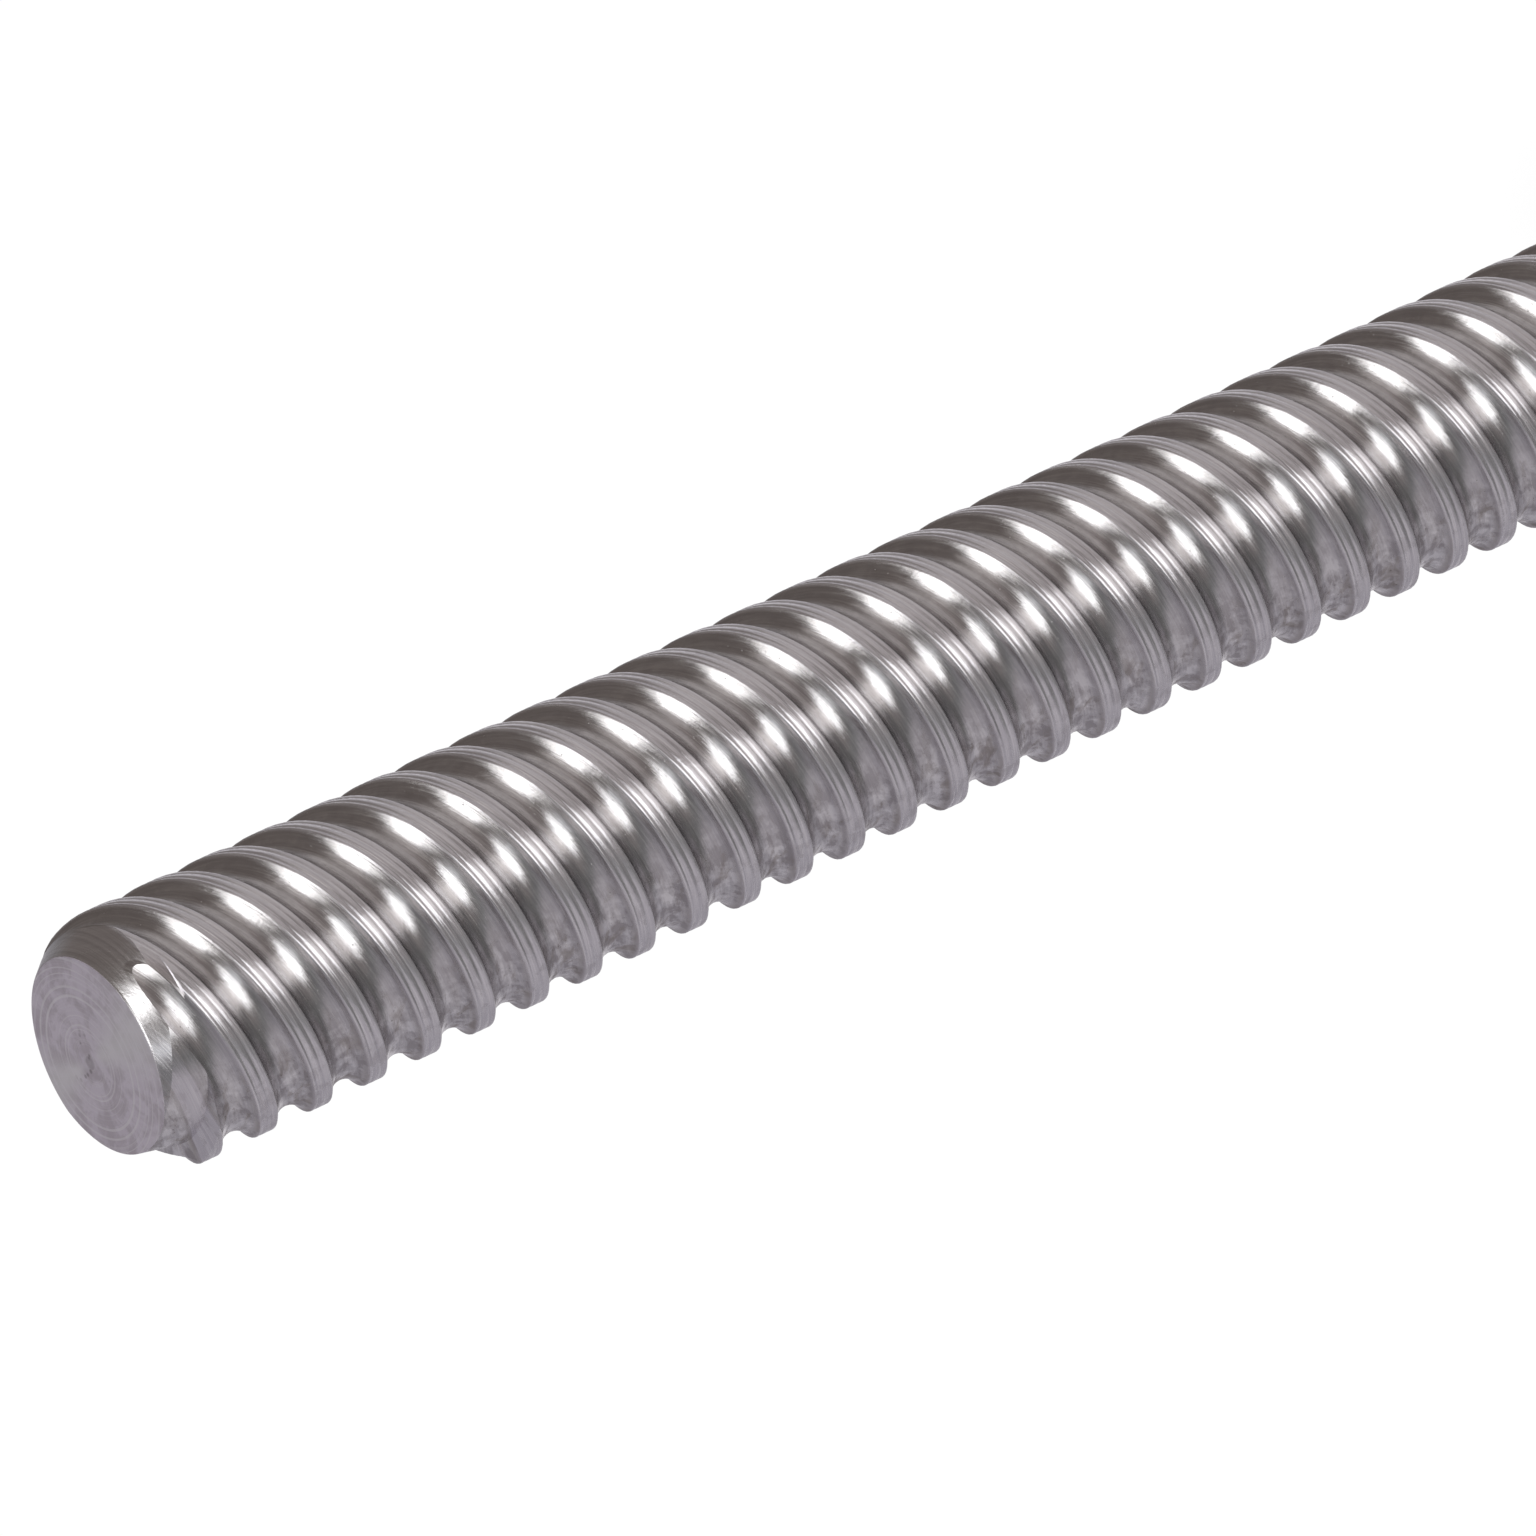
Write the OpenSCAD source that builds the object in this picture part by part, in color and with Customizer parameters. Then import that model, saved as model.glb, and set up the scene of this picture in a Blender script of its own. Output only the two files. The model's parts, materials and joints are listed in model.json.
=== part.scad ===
// Ball screw assembly: four-start rolled screw with one plain chamfered end,
// flanged ball nut with end-cap return, and a fixed-side bearing support unit.
// Units are millimetres. +Z is up and the screw axis runs along +X.
// Origin: on the mounting plane, under the screw axis, at the front face of the
// bearing housing. The free end of the screw points to -X, which is the front.

/* [View] */
// sub-part to draw, "all" draws the assembly

/* [Screw] */
// outside diameter of the rolled thread
screw_od = 20; // [20:0.1:20.4]
// diameter at the bottom of the ball groove
root_d = 17.71; // [17.6:0.01:17.9]
// axial advance per turn
lead = 20; // [20:0.5:22]
// length of the threaded part
thread_len = 225; // [200:1:260]
// angle of the first groove at the free end
thread_angle = 7.55; // [0:0.05:90]
// radius of the flat end face
end_face_r = 7.95; // [7:0.05:8.4]
// axial length of the relief behind the end face
end_relief = 3.3; // [2:0.1:4]
// bearing journal diameter
journal_d = 15; // [15:0.1:15]
// drive end diameter
drive_d = 12; // [10:0.5:12]
// drive end length
drive_len = 22; // [16:1:30]

/* [Nut] */
// ball diameter in the tracks
ball_d = 3.175; // [3:0.005:3.175]
// nut barrel diameter
nut_d = 36; // [36:0.5:38]
// flange diameter
flange_d = 58; // [58:1:62]
// distance across the flange flats
flange_flats = 44; // [42:1:48]
// flange thickness
flange_t = 10; // [8:1:12]
// bolt circle of the flange
flange_pcd = 47; // [47:0.5:49]
// flange bolt hole diameter
flange_hole_d = 6.6; // [5.5:0.1:6.6]
// gap between the parked nut and the screw shoulder
nut_gap = 9; // [4:1:20]

/* [Support] */
// height of the screw axis over the mounting plane
axis_h = 28; // [28:1:40]
// housing length along the screw
housing_len = 32; // [32:1:34]
// width over the feet
foot_w = 86; // [84:1:96]
// foot thickness
foot_t = 13; // [10:1:16]
// width of the bearing body
body_w = 52; // [52:1:56]
// foot bolt hole diameter
foot_hole_d = 5.5; // [4.5:0.1:6.6]
// foot bolt spacing across the screw
foot_pitch_y = 70; // [70:1:74]
// foot bolt spacing along the screw
foot_pitch_x = 18; // [14:1:18]
// foot bolt counterbore diameter
foot_cbore_d = 9.5; // [9:0.5:10]

/* [Hidden] */
$fn = 64;

BALL_STEEL = [0.8, 0.8, 0.82];
RING_STEEL = [0.75, 0.75, 0.77];
COLLAR_STEEL = [0.55, 0.56, 0.58];
SCREW_BLACK = [0.25, 0.25, 0.27];
CAP_BLACK = [0.20, 0.21, 0.22];
RUBBER = [0.12, 0.12, 0.13];
WIPER_RED = [0.70, 0.20, 0.12];
CAGE_BRASS = [0.72, 0.55, 0.25];

fit = 0.01;                     // clearance between mating parts
over = 1;                       // how far a cut runs past a face

// stations along X
shoulder_x = -5;                // rear end of the thread
free_end_x = shoulder_x - thread_len;
bearing_w = 11;
front_bearing_x = 5;            // front face of each bearing
rear_bearing_x = front_bearing_x + bearing_w;
bearings_end_x = rear_bearing_x + bearing_w;
lock_nut_x = 41;                // front face of the lock nut

journal_r = journal_d / 2;
lock_seat_r = journal_r - 0.1;  // shaft radius under the lock nut

// ---- placing helpers ----
// axial frame: local +Z runs along the screw, local +X points down, +Y stays
module axial(x) translate([x, 0, axis_h]) rotate([0, 90, 0]) children();
module lift(z) translate([0, 0, z]) children();
module four_around(start, radius) for (i = [0 : 3])
  rotate([0, 0, start + 90 * i]) translate([radius, 0, 0]) children();
// cutter for a hole right through a part of this length
module through(radius, length) lift(-over) cylinder(r = radius, h = length + 2 * over);
module tube(inner_r, outer_r, length) difference() {
  cylinder(r = outer_r, h = length);
  through(inner_r, length);
}
module hex_socket(radius, floor_z) lift(floor_z) cylinder(r = radius, h = 3, $fn = 6);

// ---- thread ----
starts = 4;
segments = 20;                  // azimuth steps round the thread
ring_step = lead / segments;    // ring spacing that follows the helix
groove_pitch = lead / starts;   // axial groove spacing
screw_r = screw_od / 2;
root_r = root_d / 2;
ball_r = ball_d / 2;
ball_path_r = root_r + ball_r + 0.02;   // ball centres, from the axis

// Surface radii at 0, 1 and 2 or more ring steps from a groove centre, joined by
// straight chords clear of the ball
screw_profile = [root_r - 0.06, root_r + 0.185, screw_r];
nut_profile = [12.215, 12.0, 10.6];
nut_profile_path_r = 10.5225;   // ball path radius that nut_profile belongs to

// free end: chamfer, and relief radii about a centre off the axis
chamfer_slope = 0.804;
relief_y = 0.48;                // relief centre off the axis, across
relief_z = 1.01;                // and up
relief_face_r = 8.57;
relief_slope = 0.197;
relief_exit_slope = 4.15;
shoulder_slope = 1.2;           // taper at the shoulder end of the thread
shoulder_rise = 1;              // thread end radius over the journal

function wrap(v, period) = v - period * floor(v / period + 0.5);
// distance from the nearest groove centre in ring steps
function groove_dist(z, a) = abs(wrap(z - lead * a / 360, groove_pitch)) / ring_step;
function profile_r(p, d) =
  d < 1 ? p[0] + (p[1] - p[0]) * d
  : d < 2 ? p[1] + (p[2] - p[1]) * (d - 1)
  : p[2];
// opened so that the facets clear the ball
function raceway_r(d) =
  profile_r(nut_profile, d) / cos(180 / segments) + ball_path_r - nut_profile_path_r;

function relief_r(z) = relief_face_r + relief_slope * min(z, end_relief)
  + relief_exit_slope * max(z - end_relief, 0);
// radius limit at the free end: the chamfer about the axis, cut back further by
// the relief circle measured from the axis at angle a
function free_end_r(z, a) =
  let (toward = relief_y * sin(a) - relief_z * cos(a),
       offset_sq = relief_y * relief_y + relief_z * relief_z)
  min(end_face_r + chamfer_slope * z,
      toward + sqrt(pow(relief_r(z), 2) - offset_sq + toward * toward));
function thread_r(z, a, z0, z1) = min(
  profile_r(screw_profile, groove_dist(z, a)),
  free_end_r(z - z0, a + thread_angle),
  journal_r + shoulder_rise + (z1 - z) * shoulder_slope);

// ring-stacked solid from z0 to z1 whose grid follows the helix: the screw
// thread, or with raceway = true the cutter for the inside of the nut
module helix_solid(z0, z1, raceway = false) {
  n = round((z1 - z0) / ring_step);
  last = segments - 1;
  points = concat(
    [for (i = [0 : n]) for (j = [0 : last])
      let (a = j * 360 / segments,
           z = i == n ? z1 : z0 + i * ring_step,
           r = raceway ? raceway_r(groove_dist(z, a)) : thread_r(z, a, z0, z1))
      [r * cos(a), r * sin(a), z]],
    [[0, 0, z0], [0, 0, z1]]);
  start_hub = len(points) - 2;
  end_hub = len(points) - 1;
  // point index, where column j wraps round the ring
  function at(i, j) = i * segments + j % segments;
  faces = concat(
    [for (i = [0 : n - 1]) for (j = [0 : last]) [at(i, j), at(i + 1, j + 1), at(i, j + 1)]],
    [for (i = [0 : n - 1]) for (j = [0 : last]) [at(i, j), at(i + 1, j), at(i + 1, j + 1)]],
    [for (j = [0 : last]) [start_hub, at(0, j), at(0, j + 1)]],
    [for (j = [0 : last]) [end_hub, at(n, j + 1), at(n, j)]]);
  polyhedron(points = points, faces = faces, convexity = 10);
}

// ---- screw shaft ----
shaft_overlap = 0.5;            // how far shaft sections run into each other
lock_seat_len = 12.5;
drive_chamfer = 0.8;
centre_depth = 2.5;             // conical centre in the drive end
centre_r = 1.6;

module screw_shaft() color([0.72, 0.72, 0.74]) axial(free_end_x) {
  seat_z = lock_nut_x - free_end_x;
  drive_z = seat_z + lock_seat_len;
  drive_r = drive_d / 2;
  difference() {
    union() {
      rotate([0, 0, thread_angle]) helix_solid(0, thread_len);
      lift(thread_len - shaft_overlap)
        cylinder(r = journal_r, h = lock_nut_x - shoulder_x + shaft_overlap);
      lift(seat_z - shaft_overlap)
        cylinder(r = lock_seat_r, h = lock_seat_len + 2 * shaft_overlap);
      lift(drive_z) cylinder(r = drive_r, h = drive_len);
      lift(drive_z + drive_len)
        cylinder(r1 = drive_r, r2 = drive_r - drive_chamfer, h = drive_chamfer);
    }
    lift(drive_z + drive_len + drive_chamfer - centre_depth)
      cylinder(r1 = 0, r2 = centre_r, h = centre_depth + 0.1);
  }
}

// ---- ball nut ----
cap_t = 7;                      // end cap thickness
barrel_len = 36;                // nut body length
nut_x1 = shoulder_x - nut_gap - cap_t;  // nut body rear face
nut_x0 = nut_x1 - barrel_len;   // nut body front face
flange_mid_x = nut_x1 - flange_t / 2;
flange_top_z = axis_h + flange_flats / 2;
return_r = 15;                  // return holes, from the axis
return_hole_r = 1.75;
plug_r = 2.5;
oilway_r = 1;
oilway_start = 10;              // inner end of the oilway, from the axis

cap_screw_circle_r = 15.1;
cap_shank_r = 1.25;
cap_head_r = 2;
cap_head_sink = 2.8;            // head seat below the cap face
cap_chamfer = 0.8;
turn_z = 1.4;                   // radial return channel above the cap's inner face
turn_inner_r = 9.5;             // inner end of that channel
wiper_r = 13;
wiper_pocket = 3;               // depth of the wiper recess
lip_r = screw_r + 0.07;

// frames on the nut body ends: local +Z points out of the body
module front_face() axial(nut_x0) mirror([0, 0, 1]) children();
module rear_face() axial(nut_x1) children();
module cap_screw_places() four_around(0, cap_screw_circle_r) children();
module cap_screw_taps() cap_screw_places() lift(-6) cylinder(r = cap_shank_r + fit, h = 7);

module nut_body() color([0.60, 0.61, 0.63]) difference() {
  union() {
    axial(nut_x0) cylinder(r = nut_d / 2, h = barrel_len);
    // flange with flats at top and bottom
    intersection() {
      axial(nut_x1 - flange_t) cylinder(r = flange_d / 2, h = flange_t);
      translate([nut_x1 - flange_t - over, -flange_d, axis_h - flange_flats / 2])
        cube([flange_t + 2 * over, 2 * flange_d, flange_flats]);
    }
  }
  // three bolt holes on each side
  for (side = [90, 270]) for (a = [-30, 0, 30])
    axial(nut_x1 - flange_t) rotate([0, 0, side + a]) translate([flange_pcd / 2, 0, 0])
      through(flange_hole_d / 2, flange_t);
  // whole ring steps, so that the raceway lines up with the screw
  axial(free_end_x) rotate([0, 0, thread_angle]) helix_solid(
    floor((nut_x0 - free_end_x) / ring_step - 1) * ring_step,
    ceil((nut_x1 - free_end_x) / ring_step + 1) * ring_step,
    raceway = true);
  axial(nut_x0) four_around(45, return_r) through(return_hole_r, barrel_len);
  front_face() cap_screw_taps();
  rear_face() cap_screw_taps();
  // radial lubrication hole through the flange, from the top flat
  translate([flange_mid_x, 0, flange_top_z - 6]) cylinder(r = plug_r + fit, h = 7);
  translate([flange_mid_x, 0, axis_h + oilway_start])
    cylinder(r = oilway_r, h = flange_flats / 2 - oilway_start);
}

// inner face at z = 0, outer face at z = cap_t
module end_cap() color(CAP_BLACK) difference() {
  rim_r = nut_d / 2 - 0.5;
  union() {
    cylinder(r = rim_r, h = cap_t - cap_chamfer);
    lift(cap_t - cap_chamfer - 0.01)
      cylinder(r1 = rim_r, r2 = rim_r - cap_chamfer, h = cap_chamfer + 0.01);
  }
  through(10.35, cap_t);
  lift(cap_t - wiper_pocket) cylinder(r = wiper_r + fit, h = wiper_pocket + over);
  // return path: in from the nut, round a ball corner, then toward the screw
  four_around(45, return_r) {
    translate([turn_inner_r - return_r, 0, turn_z]) rotate([0, 90, 0])
      cylinder(r = return_hole_r, h = return_r - turn_inner_r);
    lift(turn_z) sphere(r = return_hole_r);
    lift(-over) cylinder(r = return_hole_r, h = turn_z + over);
  }
  cap_screw_places() {
    through(1.45, cap_t);
    lift(cap_t - cap_head_sink) cylinder(r = cap_head_r + fit, h = 4);
  }
}
module front_end_cap() front_face() end_cap();
module rear_end_cap() rear_face() end_cap();

// socket heads sunk in the cap, shanks tapped in the body
module cap_screws() color(SCREW_BLACK) cap_screw_places() difference() {
  union() {
    lift(cap_t - cap_head_sink) cylinder(r = cap_head_r, h = 2.4);
    lift(-5) cylinder(r = cap_shank_r, h = cap_t + 2.3);
  }
  hex_socket(1.15, cap_t - 1.7);
}
module front_cap_screws() front_face() cap_screws();
module rear_cap_screws() rear_face() cap_screws();

module wiper() color(WIPER_RED) difference() {
  lift(cap_t - wiper_pocket) cylinder(r = wiper_r, h = wiper_pocket - 0.2);
  lift(cap_t - wiper_pocket - over) cylinder(r = lip_r, h = 6);
  lift(cap_t - 1.2) cylinder(r1 = lip_r, r2 = screw_r + 1.5, h = 1.4);
}
module front_wiper() front_face() wiper();
module rear_wiper() rear_face() wiper();

module grease_plug() color(SCREW_BLACK)
  translate([flange_mid_x, 0, flange_top_z - 5]) difference() {
    cylinder(r = plug_r, h = 4.6);
    hex_socket(1.45, 2.4);
  }

// ---- nut balls ----
ball_spacing = ball_d + 0.07;   // least distance between ball centres
track_margin = 2;               // track ends inside the nut body faces
return_margin = 1;              // return rows end outside them

module nut_ball() sphere(r = ball_r, $fn = 32);
// loaded balls of one start (0 to 3), on the helix inside the nut body
module track(start) color(BALL_STEEL) {
  length = barrel_len - 2 * track_margin;
  turn_len = sqrt(pow(2 * PI * ball_path_r, 2) + lead * lead);
  n = floor(length * turn_len / lead / ball_spacing);
  for (i = [0 : n])
    let (z = nut_x0 - free_end_x + track_margin + i * length / n,
         a = (z - groove_pitch * start) * 360 / lead + thread_angle)
    axial(free_end_x) rotate([0, 0, a]) translate([ball_path_r, 0, z]) nut_ball();
}
module track_balls_1() track(0);
module track_balls_2() track(1);
module track_balls_3() track(2);
module track_balls_4() track(3);
module return_balls() color(BALL_STEEL) axial(nut_x0) four_around(45, return_r) {
  length = barrel_len + 2 * return_margin;
  n = floor(length / ball_spacing);
  for (i = [0 : n]) lift(-return_margin + i * length / n) nut_ball();
}

// ---- bearing support ----
body_top_z = axis_h + body_w / 2 - 2;
edge_cut = 4;                   // side of the square bar cutting the top edges
foot_cbore_depth = 5;
ring_outer_r = 17.5;
ring_bore_r = 14.6;             // bore of the outer ring
front_seal_r = 15;
rear_seal_r = 14;
cover_x = housing_len + 0.1;    // front face of the cover plate
cover_face_x = cover_x + 6;     // rear face of the cover plate
cover_screw_pitch = 38;         // heads stay clear of the cover edges
cover_shank_r = 2;
cover_head_h = 4;

module cover_corners(x) for (a = [-1, 1]) for (b = [-1, 1])
  translate([x, a * cover_screw_pitch / 2, axis_h + b * cover_screw_pitch / 2])
    rotate([0, 90, 0]) children();

module bearing_housing() color([0.16, 0.17, 0.18]) difference() {
  union() {
    translate([0, -foot_w / 2, 0]) cube([housing_len, foot_w, foot_t]);
    translate([0, -body_w / 2, 0]) cube([housing_len, body_w, body_top_z]);
  }
  axial(front_bearing_x) cylinder(r = ring_outer_r + fit, h = housing_len);
  axial(0) through(front_seal_r + fit, front_bearing_x);
  cover_corners(housing_len - 12) cylinder(r = cover_shank_r + fit, h = 13);
  for (a = [-1, 1]) for (b = [-1, 1])
    translate([housing_len / 2 + a * foot_pitch_x / 2, b * foot_pitch_y / 2, 0]) {
      through(foot_hole_d / 2, foot_t);
      lift(foot_t - foot_cbore_depth) cylinder(r = foot_cbore_d / 2, h = 8);
    }
  // long edge chamfers on the top of the body
  for (side = [-1, 1])
    translate([-over, side * body_w / 2, body_top_z]) rotate([45, 0, 0])
      translate([0, -edge_cut / 2, -edge_cut / 2])
        cube([housing_len + 2 * over, edge_cut, edge_cut]);
}

// plate on the rear of the housing, with a spigot against the rear bearing
module retainer_cover() color([0.30, 0.31, 0.33]) difference() {
  union() {
    translate([cover_x, -body_w / 2 + 1, axis_h - 25])
      cube([cover_face_x - cover_x, body_w - 2, 48.4]);
    axial(bearings_end_x) cylinder(r = 17.46, h = cover_x + 0.1 - bearings_end_x);
  }
  axial(bearings_end_x - over) cylinder(r = ring_bore_r, h = 5 + over);
  axial(bearings_end_x) cylinder(r = 11.2, h = 20);
  axial(cover_face_x - 4.2) cylinder(r = rear_seal_r + fit, h = 6);
  cover_corners(housing_len - over) cylinder(r = 2.3, h = 10);
  cover_corners(cover_face_x - cover_head_h) cylinder(r = 3.8, h = 10);
}
module cover_screws() color(SCREW_BLACK)
  cover_corners(cover_face_x - cover_head_h) difference() {
    union() {
      cylinder(r = 3.5, h = cover_head_h);
      lift(-12) cylinder(r = cover_shank_r, h = 12.5);
    }
    hex_socket(1.73, 1.8);
  }

// disc with a ring groove in one face
module oil_seal(outer_r, width, groove_in_r, groove_out_r, groove_z)
  color(RUBBER) difference() {
    cylinder(r = outer_r, h = width);
    through(10.56, width);
    lift(groove_z) tube(groove_in_r, groove_out_r, 2.2);
  }
module front_oil_seal() axial(0.6) oil_seal(front_seal_r, 4, 11.6, 13.6, groove_z = -1);
module rear_oil_seal() axial(cover_face_x - 4.1)
  oil_seal(rear_seal_r, 3.8, 11.4, 13.0, groove_z = 2.7);

// ---- bearings ----
race_r = 12.5;                  // bearing ball circle radius
race_ball_r = 2.975;
race_ball_count = 10;
mid_z = bearing_w / 2;          // ball plane inside a bearing
cage_w = 7.8;

module race_places(radius) for (i = [0 : race_ball_count - 1])
  rotate([0, 0, i * 360 / race_ball_count]) translate([radius, 0, mid_z]) children();
module race_groove() lift(mid_z)
  rotate_extrude() translate([race_r, 0]) circle(r = race_ball_r + 0.05);
// the bore opens in a cone toward +Z
module outer_ring() color(RING_STEEL) difference() {
  cylinder(r = ring_outer_r, h = bearing_w - fit);
  through(ring_bore_r, bearing_w);
  race_groove();
  lift(mid_z + 1.6) cylinder(r1 = 14.8, r2 = 15.4, h = bearing_w / 2);
}
module inner_ring() color(RING_STEEL) difference() {
  cylinder(r = 10.4, h = bearing_w - fit);
  through(journal_r + fit, bearing_w);
  race_groove();
}
module cage() color(CAGE_BRASS) difference() {
  lift(mid_z - cage_w / 2) tube(11.4, 13.6, cage_w);
  race_places(10) rotate([0, 90, 0]) cylinder(r = race_ball_r + 0.1, h = 5);
}
module race_balls() color(BALL_STEEL) race_places(race_r) sphere(r = race_ball_r, $fn = 40);

// the front outer ring is turned over, its cone toward the front
module front_bearing_outer_ring() axial(rear_bearing_x) mirror([0, 0, 1]) outer_ring();
module rear_bearing_outer_ring() axial(rear_bearing_x) outer_ring();
module front_bearing_inner_ring() axial(front_bearing_x) inner_ring();
module rear_bearing_inner_ring() axial(rear_bearing_x) inner_ring();
module front_bearing_cage() axial(front_bearing_x) cage();
module rear_bearing_cage() axial(rear_bearing_x) cage();
module front_bearing_balls() axial(front_bearing_x) race_balls();
module rear_bearing_balls() axial(rear_bearing_x) race_balls();

// ---- collars and lock nut ----
lock_nut_t = 10;
lock_nut_r = 12.5;
lock_chamfer = 0.6;
lock_screw_r = 2;
slot_w = 4.5;
slot_floor_r = 10.8;

module collar(x0, x1) color(COLLAR_STEEL)
  axial(x0) tube(journal_r + fit, 10.5, x1 - fit - x0);
module front_collar() collar(shoulder_x + 0.02, front_bearing_x);
module rear_collar() collar(bearings_end_x, lock_nut_x);

// two radial places at mid thickness, one toward +Y and one up; +Z points out
module lock_radials(radius) for (a = [90, 180])
  rotate([0, 0, a]) translate([radius, 0, lock_nut_t / 2]) rotate([0, 90, 0]) children();
module lock_nut() color([0.22, 0.22, 0.24]) axial(lock_nut_x) difference() {
  rim_r = lock_nut_r - lock_chamfer;
  union() {
    lift(lock_chamfer) cylinder(r = lock_nut_r, h = lock_nut_t - 2 * lock_chamfer);
    cylinder(r1 = rim_r, r2 = lock_nut_r, h = lock_chamfer);
    lift(lock_nut_t - lock_chamfer) cylinder(r1 = lock_nut_r, r2 = rim_r, h = lock_chamfer);
  }
  through(lock_seat_r + fit, lock_nut_t);
  four_around(45, slot_floor_r) translate([0, -slot_w / 2, -over])
    cube([4, slot_w, lock_nut_t + 2 * over]);
  lock_radials(6) cylinder(r = lock_screw_r + fit, h = 8);
}
module lock_nut_screws() color(RUBBER) axial(lock_nut_x) lock_radials(8.9) difference() {
  cylinder(r = lock_screw_r, h = 3.2);
  hex_socket(1.15, 1.6);
}
module lock_nut_pads() color([0.78, 0.60, 0.28]) axial(lock_nut_x)
  lock_radials(7.5) cylinder(r = 1.95, h = 1.38);

screw_shaft();
nut_body();
front_end_cap();
rear_end_cap();
front_cap_screws();
rear_cap_screws();
front_wiper();
rear_wiper();
grease_plug();
track_balls_1();
track_balls_2();
track_balls_3();
track_balls_4();
return_balls();
bearing_housing();
retainer_cover();
cover_screws();
front_oil_seal();
rear_oil_seal();
front_bearing_outer_ring();
rear_bearing_outer_ring();
front_bearing_inner_ring();
rear_bearing_inner_ring();
front_bearing_cage();
rear_bearing_cage();
front_bearing_balls();
rear_bearing_balls();
front_collar();
rear_collar();
lock_nut();
lock_nut_screws();
lock_nut_pads();
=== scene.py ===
import json
import math

import bmesh
import bpy
import numpy as np
from mathutils import Matrix, Vector

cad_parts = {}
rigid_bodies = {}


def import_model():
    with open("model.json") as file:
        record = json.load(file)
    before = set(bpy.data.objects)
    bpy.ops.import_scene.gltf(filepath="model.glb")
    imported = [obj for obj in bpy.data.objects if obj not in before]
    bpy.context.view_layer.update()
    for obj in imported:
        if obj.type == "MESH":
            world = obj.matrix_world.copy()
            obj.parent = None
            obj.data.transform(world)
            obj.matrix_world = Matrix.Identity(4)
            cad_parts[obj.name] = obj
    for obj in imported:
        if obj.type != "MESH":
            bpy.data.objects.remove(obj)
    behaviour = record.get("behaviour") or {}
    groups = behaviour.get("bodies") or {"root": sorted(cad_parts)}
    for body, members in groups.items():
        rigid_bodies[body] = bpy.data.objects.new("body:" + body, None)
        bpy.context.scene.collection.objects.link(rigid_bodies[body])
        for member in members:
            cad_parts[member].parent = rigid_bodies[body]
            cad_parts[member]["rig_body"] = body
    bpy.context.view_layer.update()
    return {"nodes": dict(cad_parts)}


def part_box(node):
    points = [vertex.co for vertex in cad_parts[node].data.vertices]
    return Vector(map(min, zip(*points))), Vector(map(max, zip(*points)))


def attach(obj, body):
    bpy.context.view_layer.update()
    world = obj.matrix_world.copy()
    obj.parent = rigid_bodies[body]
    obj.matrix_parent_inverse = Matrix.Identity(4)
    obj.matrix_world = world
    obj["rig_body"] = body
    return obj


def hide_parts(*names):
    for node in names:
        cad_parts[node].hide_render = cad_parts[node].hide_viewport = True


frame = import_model()
scene = bpy.context.scene
coll = scene.collection

# ---------------------------------------------------------------- sizes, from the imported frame
lo_s, hi_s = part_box("screw_shaft")
X0 = lo_s.x * 1000                       # free end face
H = (lo_s.z + hi_s.z) / 2 * 1000         # axis height
LEN = (hi_s.x - lo_s.x) * 1000
LEAD, GAP, PHI = 20.0, 5.0, 7.5254
RO = 10.0
THREAD = 225.0


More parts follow.
